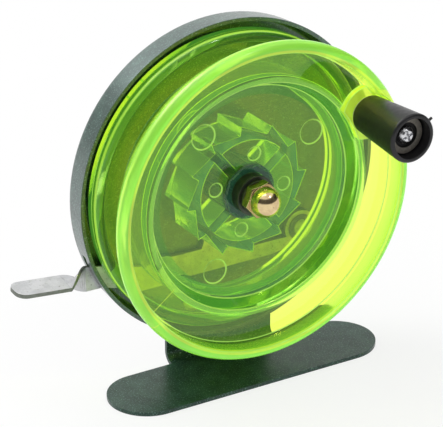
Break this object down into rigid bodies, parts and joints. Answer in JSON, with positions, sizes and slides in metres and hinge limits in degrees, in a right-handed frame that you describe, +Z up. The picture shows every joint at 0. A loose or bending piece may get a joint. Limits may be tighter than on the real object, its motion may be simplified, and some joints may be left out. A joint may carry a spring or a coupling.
{
  "type": "fishing reel",
  "caption": "Small centre-pin fishing reel: a clear moulded spool with a crank knob turns on a fixed spindle in a painted steel pan with a foot and a pawl lever.",
  "frame": {"origin": "middle of the foot's underside, where it lies on a rod or a table", "axes": "+Z up from the foot to the spool, front of the reel towards -Y, +X to the right seen from the front"},
  "size_m": [0.0975, 0.0426, 0.089],
  "materials": {
    "paint": "dark green hammertone paint",
    "clear_green": "clear fluorescent green moulding",
    "zinc": "galvanised",
    "dark_steel": "dark, oiled",
    "plated_nut": "yellow passivated",
    "black_plastic": "satin black"
  },
  "bodies": {
    "frame": {"back_plate": "paint", "foot_bracket": "paint", "bracket_rivets": "zinc", "spindle": "dark_steel", "spindle_back_washer": "zinc", "rear_thrust_washer": "zinc", "front_thrust_washer": "dark_steel", "spring_washer": "dark_steel", "acorn_nut": "plated_nut", "lever_rivet": "zinc", "lever_washer": "zinc", "lever_spring_washer": "zinc"},
    "spool": {"spool": "clear_green", "hub_bush": "dark_steel", "knob_sleeve": "zinc", "knob_base_washer": "zinc", "knob_washer": "zinc", "knob_screw": "zinc"},
    "knob": {"knob": "black_plastic"},
    "lever": {"pawl_lever": "zinc"}
  },
  "joints": [
    {"name": "spool_spin", "type": "hinge", "parent": "frame", "child": "spool", "pos_m": [0, 0, 0.0485], "axis": [0, 1, 0], "continuous": true},
    {"name": "knob_spin", "type": "hinge", "parent": "spool", "child": "knob", "pos_m": [0.02917, -0.02, 0.06467], "axis": [0, 1, 0], "continuous": true},
    {"name": "lever_pivot", "type": "hinge", "parent": "frame", "child": "lever", "pos_m": [0.0219, 0.0103, 0.0297], "axis": [0, 1, 0], "range_deg": [0, 2.32]}
  ]
}
